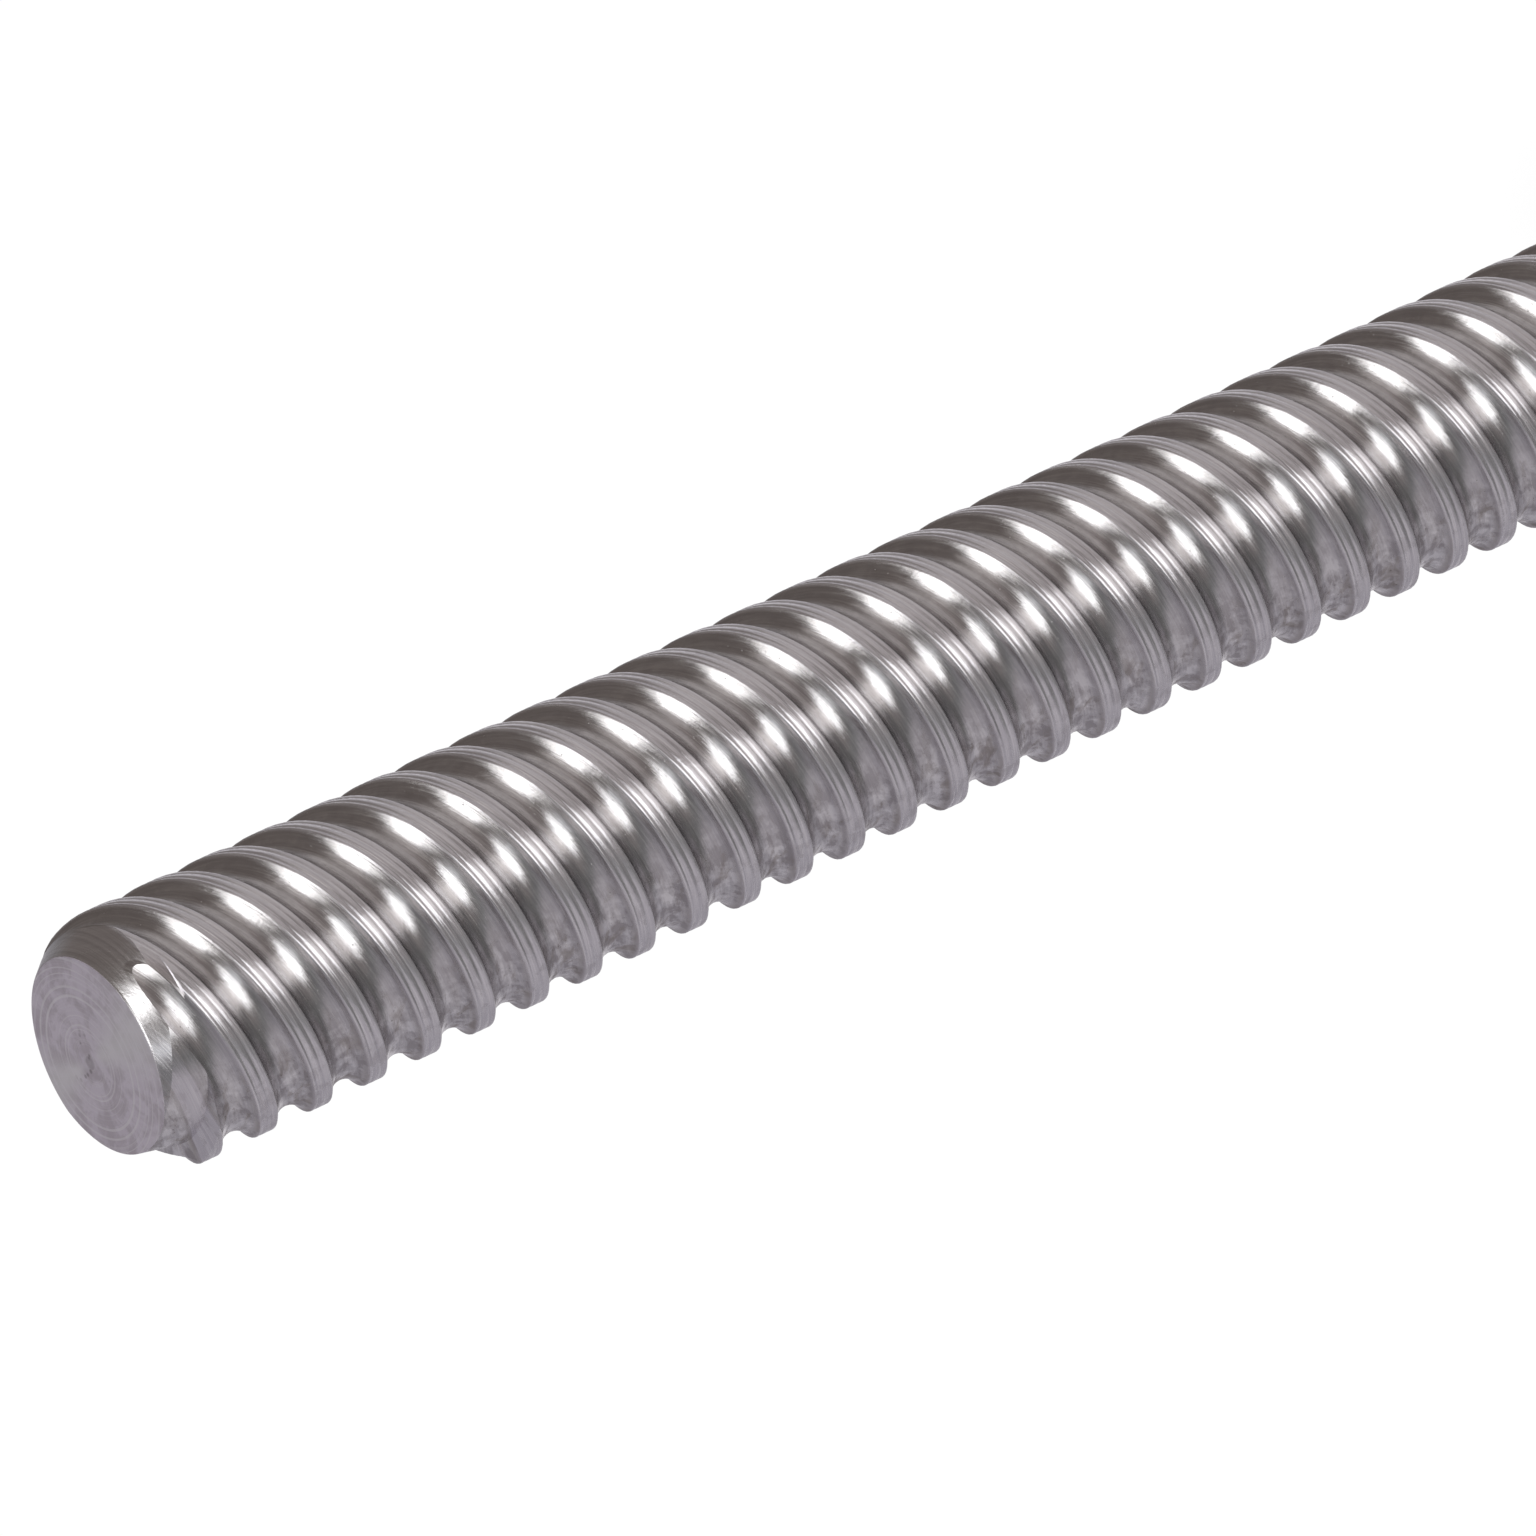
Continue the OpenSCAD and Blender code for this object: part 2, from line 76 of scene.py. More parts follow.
# ---------------------------------------------------------------- node helper
class Graph:
    def __init__(self, tree):
        self.t = tree
        tree.nodes.clear()

    def node(self, kind, props=None, **ins):
        n = self.t.nodes.new(kind)
        for k, v in (props or {}).items():
            setattr(n, k, v)
        for k, v in ins.items():
            key = int(k[1:]) if k[0] == "i" and k[1:].isdigit() else k.replace("_", " ")
            self.put(n.inputs[key], v)
        return n

    def put(self, sock, v):
        if isinstance(v, bpy.types.NodeSocket):
            self.t.links.new(v, sock)
        elif v is not None:
            sock.default_value = v

    def m(self, op, a, b=None, c=None, clamp=False):
        n = self.t.nodes.new("ShaderNodeMath")
        n.operation = op
        n.use_clamp = clamp
        for i, v in enumerate((a, b, c)):
            if v is not None:
                self.put(n.inputs[i], v)
        return n.outputs[0]

    def v(self, op, a, b=None, scale=None):
        n = self.t.nodes.new("ShaderNodeVectorMath")
        n.operation = op
        self.put(n.inputs[0], a)
        if b is not None:
            self.put(n.inputs[1], b)
        if scale is not None:
            self.put(n.inputs["Scale"], scale)
        return n.outputs["Value"] if op in ("DOT_PRODUCT", "LENGTH", "DISTANCE") else n.outputs[0]

    def xyz(self, a):
        n = self.node("ShaderNodeSeparateXYZ", i0=a)
        return n.outputs[0], n.outputs[1], n.outputs[2]

    def comb(self, x, y, z):
        return self.node("ShaderNodeCombineXYZ", i0=x, i1=y, i2=z).outputs[0]

    def noise(self, vec, scale, detail=3.0, rough=0.55, dist=0.0, dims="3D", w=None):
        n = self.t.nodes.new("ShaderNodeTexNoise")
        n.noise_dimensions = dims
        if dims != "1D":
            self.put(n.inputs["Vector"], vec)
        if w is not None:
            self.put(n.inputs["W"], w)
        n.inputs["Scale"].default_value = scale
        n.inputs["Detail"].default_value = detail
        n.inputs["Roughness"].default_value = rough
        n.inputs["Distortion"].default_value = dist
        return n.outputs[0]

    def voro(self, vec, scale):
        n = self.t.nodes.new("ShaderNodeTexVoronoi")
        self.put(n.inputs["Vector"], vec)
        n.inputs["Scale"].default_value = scale
        return n.outputs["Distance"]

    def step(self, x, a, b, lo=0.0, hi=1.0):
        n = self.t.nodes.new("ShaderNodeMapRange")
        n.interpolation_type = "SMOOTHSTEP"
        n.clamp = True
        self.put(n.inputs[0], x)
        for i, q in enumerate((a, b, lo, hi)):
            self.put(n.inputs[i + 1], q)
        return n.outputs[0]

    def mix(self, f, a, b):
        n = self.t.nodes.new("ShaderNodeMix")
        n.data_type = "RGBA"
        self.put(n.inputs["Factor"], f)
        self.put(n.inputs[6], a)
        self.put(n.inputs[7], b)
        return n.outputs[2]

    def fmix(self, f, a, b):
        n = self.t.nodes.new("ShaderNodeMix")
        n.data_type = "FLOAT"
        self.put(n.inputs[0], f)
        self.put(n.inputs[2], a)
        self.put(n.inputs[3], b)
        return n.outputs[0]

    def bump(self, height, dist, strength=1.0, normal=None):
        n = self.node("ShaderNodeBump", i0=strength)
        self.put(n.inputs["Height"], height)
        self.put(n.inputs["Distance"], dist)
        if normal is not None:
            self.put(n.inputs["Normal"], normal)
        return n.outputs[0]


def rgb(r, g, b):
    return (r, g, b, 1.0)


def material(name):
    mat = bpy.data.materials.new(name)
    mat.use_nodes = True
    g = Graph(mat.node_tree)
    out = g.node("ShaderNodeOutputMaterial")
    bsdf = g.node("ShaderNodeBsdfPrincipled")
    g.t.links.new(bsdf.outputs[0], out.inputs[0])
    g.b = bsdf
    g.obj = g.node("ShaderNodeTexCoord").outputs["Object"]
    g.mm = g.v("SCALE", g.obj, scale=1000.0)
    return mat, g


def cyl(g):
    """x, height above the axis, y, radius from the axis, angle with its cut at the bottom: all in mm."""
    x, y, z = g.xyz(g.mm)
    zz = g.m("SUBTRACT", z, H)
    r = g.m("SQRT", g.m("ADD", g.m("MULTIPLY", y, y), g.m("MULTIPLY", zz, zz)))
    ang = g.m("ARCTAN2", y, zz)
    return x, y, zz, r, ang


# ---------------------------------------------------------------- materials
def mat_screw():
    mat, g = material("screw_steel_mat")
    x, y, zz, r, ang = cyl(g)
    zf = g.m("SUBTRACT", x, X0)
    # ang runs 0 at the top; the source angle a has its zero at the bottom: a = pi - ang
    turn = g.m("MULTIPLY", ang, LEAD / (2 * math.pi))
    wh = g.m("ADD", zf, turn)                                    # constant along a groove
    w = g.m("ADD", g.m("WRAP", g.m("ADD", wh, LEAD * PHI / 360.0 - LEAD / 2), 2.5, -2.5), 0.0)
    along = g.m("MULTIPLY", ang, 10.0)
    thread = g.step(zf, THREAD - 1.0, THREAD - 0.5, 1.0, 0.0)
    face = g.m("LESS_THAN", zf, 0.02)
    groove = g.m("MULTIPLY", g.step(g.m("ABSOLUTE", w), 1.5, 1.68, 1.0, 0.0), thread)
    # long fine streaks left by the rolling dies, along the thread
    streak = g.noise(g.comb(g.m("MULTIPLY", wh, 7.0), g.m("MULTIPLY", along, 0.16), 0.0), 1.0, 4.0, 0.62)
    fine = g.noise(g.comb(g.m("MULTIPLY", wh, 26.0), g.m("MULTIPLY", along, 0.5), 3.0), 1.0, 3.0, 0.6)
    blotch = g.noise(g.comb(g.m("MULTIPLY", wh, 0.5), g.m("MULTIPLY", along, 0.32), x), 0.9, 5.0, 0.62, 0.6)
    grain = g.noise(g.mm, 6.0, 4.0, 0.6)
    # stained, pitted patches sit in the grooves, mostly on the underside
    under = g.step(zz, 4.0, -2.5, 0.22, 1.0)
    patch = g.m("MULTIPLY", g.m("MULTIPLY", g.step(blotch, 0.50, 0.66), groove), under)
    pits = g.m("MULTIPLY", g.step(g.voro(g.mm, 2.1), 0.16, 0.07), g.step(grain, 0.42, 0.60))
    pits = g.m("MULTIPLY", pits, g.m("MULTIPLY", g.step(blotch, 0.44, 0.58), groove))
    pits = g.m("MULTIPLY", pits, g.step(zz, 4.0, -4.0, 0.35, 1.0))
    col = g.mix(g.step(streak, 0.35, 0.7), rgb(0.60, 0.585, 0.60), rgb(0.70, 0.685, 0.69))
    lnd0 = g.m("MULTIPLY", g.m("SUBTRACT", 1.0, groove), thread)
    col = g.mix(g.m("MULTIPLY", lnd0, 0.8), col, g.mix(g.step(streak, 0.35, 0.7), rgb(0.70, 0.68, 0.72), rgb(0.86, 0.84, 0.87)))
    cloud = g.noise(g.v("MULTIPLY", g.mm, (0.8, 1.0, 1.0)), 0.70, 4.0, 0.60, 0.25)
    drawn = g.noise(g.comb(g.m("MULTIPLY", wh, 1.5), g.m("MULTIPLY", along, 0.30), 5.0), 1.0, 4.0, 0.60, 0.2)
    cloud = g.fmix(0.5, cloud, drawn)
    # painted shade and painted light: cloudy darker and near-white patches in the colour, mostly on the underside
    # grooves, stand in for shading and reflections there
    painted_shade = g.m("MULTIPLY", g.step(cloud, 0.505, 0.42), g.m("MULTIPLY", under, g.fmix(groove, 0.45, 1.0)))
    painted_light_patch = g.m("MULTIPLY", g.step(cloud, 0.505, 0.59), g.m("MULTIPLY", under, groove))
    col = g.mix(g.m("MULTIPLY", painted_shade, g.m("MULTIPLY", thread, 0.72)), col, rgb(0.36, 0.335, 0.345))
    col = g.mix(g.m("MULTIPLY", painted_light_patch, 0.75), col, rgb(0.93, 0.92, 0.93))
    aw = g.m("ABSOLUTE", w)
    # painted shade: a brown darkening in the creases where land meets groove, stronger on the underside
    crease_painted_shade = g.m("MULTIPLY", g.step(aw, 1.15, 1.60), g.step(aw, 1.76, 1.66))
    crease_painted_shade = g.m("MULTIPLY", g.m("MULTIPLY", crease_painted_shade, thread), g.step(cloud, 0.40, 0.60, 0.25, 1.0))
    crease_painted_shade = g.m("MULTIPLY", crease_painted_shade, g.step(zz, 3.0, -6.0, 0.35, 1.0))
    col = g.mix(g.m("MULTIPLY", crease_painted_shade, 0.60), col, rgb(0.30, 0.262, 0.240))
    col = g.mix(g.m("MULTIPLY", patch, 0.60), col, rgb(0.38, 0.340, 0.315))
    col = g.mix(g.m("MULTIPLY", pits, 0.75), col, rgb(0.13, 0.105, 0.09))
    # the end face: turned rings about its own centre, which sits a little off the axis
    dy, dz = g.m("SUBTRACT", y, 0.93), g.m("SUBTRACT", zz, -0.92)
    fr = g.m("SQRT", g.m("ADD", g.m("MULTIPLY", dy, dy), g.m("MULTIPLY", dz, dz)))
    fa = g.m("ARCTAN2", dy, dz)
    rings = g.noise(None, 2.6, 4.0, 0.7, dims="1D", w=fr)
    wide = g.noise(None, 0.55, 2.0, 0.5, dims="1D", w=fr)
    fmot = g.noise(g.mm, 0.55, 5.0, 0.6, 0.4)
    # painted sheen: a near-white bow-tie across the end face from the ring centre stands in for the reflection on the
    # turned face
    painted_sheen_fan = g.m("POWER", g.m("ABSOLUTE", g.m("COSINE", g.m("SUBTRACT", fa, 2.35))), 16.0)
    painted_sheen_fan = g.m("MULTIPLY", painted_sheen_fan, g.step(fr, 0.2, 2.5))
    fcol = g.mix(g.step(fmot, 0.36, 0.64), rgb(0.70, 0.65, 0.695), rgb(0.91, 0.86, 0.93))
    fcol = g.mix(g.m("MULTIPLY", g.step(fmot, 0.55, 0.72), 0.22), fcol, rgb(0.60, 0.55, 0.57))
    fcol = g.mix(g.m("MULTIPLY", painted_sheen_fan, 0.70), fcol, rgb(0.98, 0.975, 0.97))
    fcol = g.mix(g.step(rings, 0.52, 0.64, 0.0, 0.60), fcol, rgb(1.0, 0.98, 1.0))
    nub = g.m("MULTIPLY", g.step(g.voro(g.mm, 1.2), 0.30, 0.12), g.step(fr, 3.4, 1.0))
    fcol = g.mix(g.m("MULTIPLY", nub, 0.75), fcol, rgb(0.36, 0.32, 0.34))
    fcol = g.mix(g.step(fr, 0.75, 0.3, 0.0, 0.45), fcol, rgb(0.33, 0.30, 0.31))
    col = g.mix(face, col, fcol)
    xw = g.m("MINIMUM", g.m("MULTIPLY", aw, 0.957), 1.58)
    full = g.m("MINIMUM", g.m("SUBTRACT", 10.524, g.m("SQRT", g.m("SUBTRACT", 1.669 ** 2, g.m("MULTIPLY", xw, xw)))), RO)
    # painted light: the surfaces cut into the nose get a lighter colour on the top only (above the axis); the turned
    # lines in it are a real pattern
    cut = g.m("MULTIPLY", g.step(g.m("SUBTRACT", full, r), 0.14, 0.22), g.step(zf, 6.5, 5.5))
    cut = g.m("MULTIPLY", g.m("MULTIPLY", cut, g.m("SUBTRACT", 1.0, face)), g.step(zz, 3.0, 7.0))
    lines = g.noise(g.comb(g.m("MULTIPLY", zf, 5.0), g.m("MULTIPLY", along, 0.05), 1.0), 1.0, 4.0, 0.7)
    col = g.mix(g.m("MULTIPLY", cut, 0.75), col, g.mix(g.step(lines, 0.35, 0.65), rgb(0.66, 0.645, 0.66), rgb(0.88, 0.87, 0.885)))
    # ground journals beyond the thread
    ground = g.noise(None, 9.0, 3.0, 0.7, dims="1D", w=x)
    gcol = g.mix(g.step(ground, 0.3, 0.7), rgb(0.60, 0.60, 0.61), rgb(0.72, 0.72, 0.73))
    isj = g.m("SUBTRACT", 1.0, thread)
    col = g.mix(isj, col, gcol)
    g.put(g.b.inputs["Base Color"], col)
    land = g.m("MULTIPLY", g.m("MULTIPLY", g.m("SUBTRACT", 1.0, groove), thread), g.step(r, 9.80, 9.93))
    dull = g.m("MULTIPLY", land, g.step(streak, 0.3, 0.7, 0.75, 1.0))
    g.put(g.b.inputs["Metallic"], g.m("SUBTRACT", 1.0, g.m("MULTIPLY", dull, 0.22)))
    rough = g.m("ADD", g.fmix(groove, 0.17, 0.14), g.step(streak, 0.3, 0.75, -0.04, 0.08))
    rough = g.m("ADD", rough, g.m("MULTIPLY", patch, 0.22))
    rough = g.m("ADD", rough, g.m("MULTIPLY", g.m("MULTIPLY", painted_shade, thread), 0.12))
    rough = g.m("ADD", rough, g.m("MULTIPLY", crease_painted_shade, 0.15))
    rough = g.m("ADD", rough, g.m("MULTIPLY", pits, 0.30))
    rough = g.m("ADD", rough, g.step(zz, 1.0, -7.0, 0.0, 0.10))
    rough = g.fmix(g.m("MULTIPLY", cut, 0.7), rough, g.m("ADD", 0.20, g.m("MULTIPLY", lines, 0.14)))
    rough = g.fmix(face, rough, g.m("ADD", 0.40, g.m("MULTIPLY", rings, 0.10)))
    rough = g.fmix(isj, rough, g.m("ADD", 0.16, g.m("MULTIPLY", ground, 0.12)))
    g.put(g.b.inputs["Roughness"], rough)
    hgt = g.m("ADD", g.m("MULTIPLY", streak, 0.65), g.m("MULTIPLY", fine, 0.35))
    hgt = g.m("SUBTRACT", hgt, g.m("MULTIPLY", pits, 1.5))
    hgt = g.m("ADD", hgt, g.m("MULTIPLY", g.m("MULTIPLY", grain, patch), 0.9))
    wob = g.noise(g.comb(g.m("MULTIPLY", wh, 0.85), g.m("MULTIPLY", along, 0.30), 7.0), 1.0, 3.0, 0.55, 0.5)
    hgt = g.m("ADD", hgt, g.m("MULTIPLY", wob, g.fmix(groove, 2.6, 1.6)))
    hgt = g.m("ADD", hgt, g.m("MULTIPLY", g.m("MULTIPLY", cloud, under), 1.0))
    hface = g.m("ADD", g.m("MULTIPLY", rings, 1.5), g.m("MULTIPLY", wide, 1.0))
    hgt = g.fmix(face, hgt, hface)
    hgt = g.fmix(isj, hgt, g.m("MULTIPLY", ground, 0.5))
    g.put(g.b.inputs["Normal"], g.bump(hgt, 0.000022, 0.9))
    return mat


def turned(name, c1, c2, rough=0.24, line=7.0, bump=0.000012, stain=0.15, metallic=1.0, grain_scale=2.2):
    """Turned or ground metal: rings round the axis on faces, lines round the barrel."""
    mat, g = material(name)
    x, y, zz, r, ang = cyl(g)
    nx = g.m("ABSOLUTE", g.xyz(g.node("ShaderNodeTexCoord").outputs["Normal"])[0])
    s = g.fmix(g.m("GREATER_THAN", nx, 0.7), x, g.m("ADD", r, 40.0))
    lines = g.noise(None, line, 4.0, 0.72, dims="1D", w=s)
    soft = g.noise(g.mm, 0.11, 4.0, 0.6, 0.3)
    fine = g.noise(g.mm, grain_scale, 4.0, 0.65)
    col = g.mix(g.step(lines, 0.3, 0.72), c1, c2)
    col = g.mix(g.m("MULTIPLY", g.step(soft, 0.48, 0.70), stain), col, rgb(*[v * 0.55 for v in c1[:3]]))
    g.put(g.b.inputs["Base Color"], col)
    g.b.inputs["Metallic"].default_value = metallic
    rr = g.m("ADD", rough, g.m("MULTIPLY", g.m("SUBTRACT", lines, 0.5), 0.16))
    rr = g.m("ADD", rr, g.m("MULTIPLY", g.m("SUBTRACT", soft, 0.5), 0.22))
    g.put(g.b.inputs["Roughness"], g.m("MAXIMUM", rr, 0.06))
    bev = g.node("ShaderNodeBevel", props={"samples": 4}, Radius=0.00022).outputs[0]
    g.put(g.b.inputs["Normal"], g.bump(g.m("ADD", lines, g.m("MULTIPLY", fine, 0.35)), bump, 0.8, bev))
    return mat


def moulded(name, c1, c2, rough=0.46, grain=5.0, bump=0.00003, spec=0.45, metallic=0.0, wear=0.0):
    mat, g = material(name)
    fine = g.noise(g.mm, grain, 3.0, 0.6)
    soft = g.noise(g.mm, 0.12, 4.0, 0.6, 0.4)
    smear = g.noise(g.v("MULTIPLY", g.mm, (0.25, 1.6, 1.6)), 0.5, 4.0, 0.6)
    col = g.mix(g.step(soft, 0.3, 0.7), c1, c2)
    if wear:
        # bright metal shows through where handling has rubbed the edges
        wide = g.node("ShaderNodeBevel", props={"samples": 4}, Radius=0.0007).outputs[0]
        turn = g.v("DOT_PRODUCT", wide, g.node("ShaderNodeNewGeometry").outputs["True Normal"])
        edge = g.m("MULTIPLY", g.step(turn, 0.985, 0.90), g.step(g.noise(g.mm, 0.9, 4.0, 0.7), 0.42, 0.68))
        col = g.mix(g.m("MULTIPLY", edge, wear), col, rgb(0.26, 0.255, 0.25))
    g.put(g.b.inputs["Base Color"], col)
    g.b.inputs["Metallic"].default_value = metallic
    g.b.inputs["Specular IOR Level"].default_value = spec
    rr = g.m("ADD", rough, g.m("MULTIPLY", g.m("SUBTRACT", smear, 0.5), 0.20))
    rr = g.m("ADD", rr, g.m("MULTIPLY", g.m("SUBTRACT", fine, 0.5), 0.08))
    g.put(g.b.inputs["Roughness"], rr)
    bev = g.node("ShaderNodeBevel", props={"samples": 4}, Radius=0.00025).outputs[0]
    g.put(g.b.inputs["Normal"], g.bump(fine, bump, 0.8, bev))
    return mat


def mat_balls():
    mat, g = material("ball_steel_mat")
    fine = g.noise(g.mm, 3.0, 4.0, 0.6)
    g.put(g.b.inputs["Base Color"], g.mix(g.step(fine, 0.3, 0.7), rgb(0.66, 0.66, 0.68), rgb(0.74, 0.74, 0.76)))
    g.b.inputs["Metallic"].default_value = 1.0
    g.put(g.b.inputs["Roughness"], g.m("ADD", 0.06, g.m("MULTIPLY", fine, 0.07)))
    g.put(g.b.inputs["Normal"], g.bump(fine, 0.000002, 0.4))
    return mat


MATS = {
    "screw_steel": mat_screw(),
    "nut_steel": turned("nut_steel_mat", rgb(0.50, 0.49, 0.49), rgb(0.62, 0.61, 0.61), 0.27, 5.0),
    "cap_polymer": moulded("cap_polymer_mat", rgb(0.022, 0.023, 0.026), rgb(0.034, 0.035, 0.038), 0.44),
    "wiper_polymer": moulded("wiper_polymer_mat", rgb(0.36, 0.060, 0.030), rgb(0.46, 0.085, 0.045), 0.42, 4.0),
    "black_screws": turned("black_screws_mat", rgb(0.045, 0.045, 0.05), rgb(0.075, 0.075, 0.08), 0.34, 4.0, 0.000008, 0.3, 0.85, 5.0),
    "ball_steel": mat_balls(),
    "housing_black": moulded("housing_black_mat", rgb(0.078, 0.080, 0.086), rgb(0.108, 0.111, 0.119), 0.40, 3.0, 0.000028, 0.5, 0.30, 0.5),
    "cover_black": moulded("cover_black_mat", rgb(0.088, 0.090, 0.097), rgb(0.124, 0.127, 0.135), 0.36, 3.6, 0.00002, 0.5, 0.35, 0.4),
    "seal_rubber": moulded("seal_rubber_mat", rgb(0.012, 0.012, 0.013), rgb(0.020, 0.020, 0.021), 0.58, 6.0, 0.00003, 0.35),
    "ring_steel": turned("ring_steel_mat", rgb(0.60, 0.60, 0.61), rgb(0.72, 0.72, 0.73), 0.15, 9.0, 0.000005, 0.05),
    "cage_brass": turned("cage_brass_mat", rgb(0.60, 0.42, 0.17), rgb(0.72, 0.53, 0.25), 0.26, 5.0, 0.00001, 0.2),
    "collar_steel": turned("collar_steel_mat", rgb(0.54, 0.54, 0.55), rgb(0.68, 0.68, 0.69), 0.20, 8.0, 0.000008, 0.08),
    "locknut_steel": turned("locknut_steel_mat", rgb(0.13, 0.13, 0.14), rgb(0.20, 0.20, 0.21), 0.30, 6.0, 0.00001, 0.2, 0.9),
    "pad_brass": turned("pad_brass_mat", rgb(0.62, 0.44, 0.18), rgb(0.74, 0.55, 0.26), 0.24, 5.0, 0.00001, 0.1),
}
NODE_SLOT = {
    "screw_shaft": "screw_steel", "nut_body": "nut_steel", "front_end_cap": "cap_polymer", "rear_end_cap": "cap_polymer",
    "front_cap_screws": "black_screws", "rear_cap_screws": "black_screws", "front_wiper": "wiper_polymer",
    "rear_wiper": "wiper_polymer", "grease_plug": "black_screws", "track_balls_1": "ball_steel", "track_balls_2": "ball_steel",
    "track_balls_3": "ball_steel", "track_balls_4": "ball_steel", "return_balls": "ball_steel", "bearing_housing": "housing_black",
    "retainer_cover": "cover_black", "cover_screws": "black_screws", "front_oil_seal": "seal_rubber", "rear_oil_seal": "seal_rubber",
    "front_bearing_outer_ring": "ring_steel", "rear_bearing_outer_ring": "ring_steel", "front_bearing_inner_ring": "ring_steel",
    "rear_bearing_inner_ring": "ring_steel", "front_bearing_cage": "cage_brass", "rear_bearing_cage": "cage_brass",
    "front_bearing_balls": "ball_steel", "rear_bearing_balls": "ball_steel", "front_collar": "collar_steel",
    "rear_collar": "collar_steel", "lock_nut": "locknut_steel", "lock_nut_screws": "black_screws", "lock_nut_pads": "pad_brass",
}
for node, obj in frame["nodes"].items():
    obj.data.materials.clear()
    obj.data.materials.append(MATS[NODE_SLOT[node]])
BODY = {o.name: o["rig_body"] for o in frame["nodes"].values()}


# ---------------------------------------------------------------- the screw shaft, at full thread detail
def raw_profile(w):
    """Surface radius against the distance along the axis from a groove centre, in mm."""
    rg, rcn, cl = 1.669, 10.524, 0.957
    a = np.abs(w)
    x = np.minimum(a * cl, rg * 0.9995)
    r = np.where(a < 1.656, rcn - np.sqrt(rg * rg - x * x), RO)
    return np.minimum(r, RO)


def seams(w):
    """Depth of the two thin seams rolled into the land, in mm."""
    u = np.where(w < 0, w + GAP, w)
    d = 0.0 * w
    for c, h, depth in ((2.03, 0.12, 0.085), (2.74, 0.10, 0.045)):
        d = d + np.where(np.abs(w) >= 1.0, depth * np.clip(1 - np.abs(u - c) / h, 0, 1), 0.0)
    return d


def soften(v, sigma):
    """Round a profile sampled every 0.005 mm round one groove spacing."""
    k = np.exp(-0.5 * (np.arange(-60, 61) * 0.005 / sigma) ** 2)
    return np.convolve(np.r_[v[-60:], v, v[:60]], k / k.sum(), mode="valid")


_gw = np.arange(-2.5, 2.5, 0.005)
_pr = soften(raw_profile(_gw), 0.075) - soften(seams(_gw), 0.032)
_dp = np.gradient(np.r_[_pr[-1], _pr, _pr[0]], 0.005)[1:-1]
_gw2 = np.r_[_gw, 2.5]
_pr2, _dp2 = np.r_[_pr, _pr[0]], np.r_[_dp, _dp[0]]


def wrap(w):
    return (w + GAP / 2) % GAP - GAP / 2


def prof(w):
    return np.interp(wrap(w), _gw2, _pr2)


def dprof(w):
    return np.interp(wrap(w), _gw2, _dp2)


def mesh_from(name, verts, faces):
    me = bpy.data.meshes.new(name)
    me.from_pydata(verts, [], faces)
    me.update()
    o = bpy.data.objects.new(name, me)
    coll.objects.link(o)
    return o


def place(z, r, a):
    """Shaft coordinates in mm to the row frame in metres."""
    return np.stack([(X0 + z) / 1000, r * np.sin(a) / 1000, (H - r * np.cos(a)) / 1000], -1)


def helix_solid():
    N = 72
    base = np.array(sorted([-1.82, -1.70, -1.60, -1.47, -1.27, -1.02, -0.75, -0.45, -0.15, 0.15, 0.45, 0.75, 1.02, 1.27, 1.47,
                            1.60, 1.70, 1.80, 1.92, 2.03, 2.14, 2.40, 2.65, 2.74, 2.83, 3.03]))
    S = len(base)
    groups = int(math.ceil((LEN + 34) / GAP)) + 1
    wv = (base[None, :] + GAP * np.arange(groups)[:, None]).ravel()
    M = len(wv)
    j = np.arange(N)
    a = 2 * np.pi * j / N
    # groove centres sit at z = LEAD (a - PHI) / 360 plus whole grooves; start low enough to cover the free end
    zc = LEAD * (a - math.radians(PHI)) / (2 * np.pi)
    z = wv[:, None] + zc[None, :] - 5 * GAP
    r = prof(wv)[:, None] + 0 * z
    P = place(z, r, a[None, :] + 0 * z)
    verts = P.reshape(-1, 3)
    idx = lambda m, k: m * N + k
    faces = []
    sh = 4 * S
    for m in range(M - 1):
        for k in range(N - 1):
            faces.append((idx(m, k), idx(m, k + 1), idx(m + 1, k + 1), idx(m + 1, k)))
    # the seam: column N is column 0 shifted by one lead
    for m in range(M - 1 - sh):
        faces.append((idx(m, N - 1), idx(m + sh, 0), idx(m + sh + 1, 0), idx(m + 1, N - 1)))
    lo_apex, hi_apex = len(verts), len(verts) + 1
    zlo, zhi = float(z.min()), float(z.max())
    verts = np.vstack([verts, place(np.array([zlo - 3.0]), np.array([0.0]), np.array([0.0])),
                       place(np.array([zhi + 3.0]), np.array([0.0]), np.array([0.0]))])
    loop = [idx(0, k) for k in range(N)] + [idx(m, 0) for m in range(sh, 0, -1)]
    for p, q in zip(loop, loop[1:] + loop[:1]):
        faces.append((p, lo_apex, q))
    top = [idx(M - 1, k) for k in range(N)] + [idx(m, N - 1) for m in range(M - 2, M - 2 - sh, -1)]
    for p, q in zip(top, top[1:] + top[:1]):
        faces.append((p, hi_apex, q))
    return mesh_from("helix_tmp", verts.tolist(), faces), zlo, zhi


# the free end: a chamfer about the axis, and a relief turned about a centre off the axis (y, z in mm)
NOSE_C = (0.481, 1.012)
CHAMFER = [(0.0, 7.87), (0.09, 8.02), (4.2, 11.33)]
RELIEF = [(0.0, 8.566), (3.31, 9.218), (3.83, 11.38)]


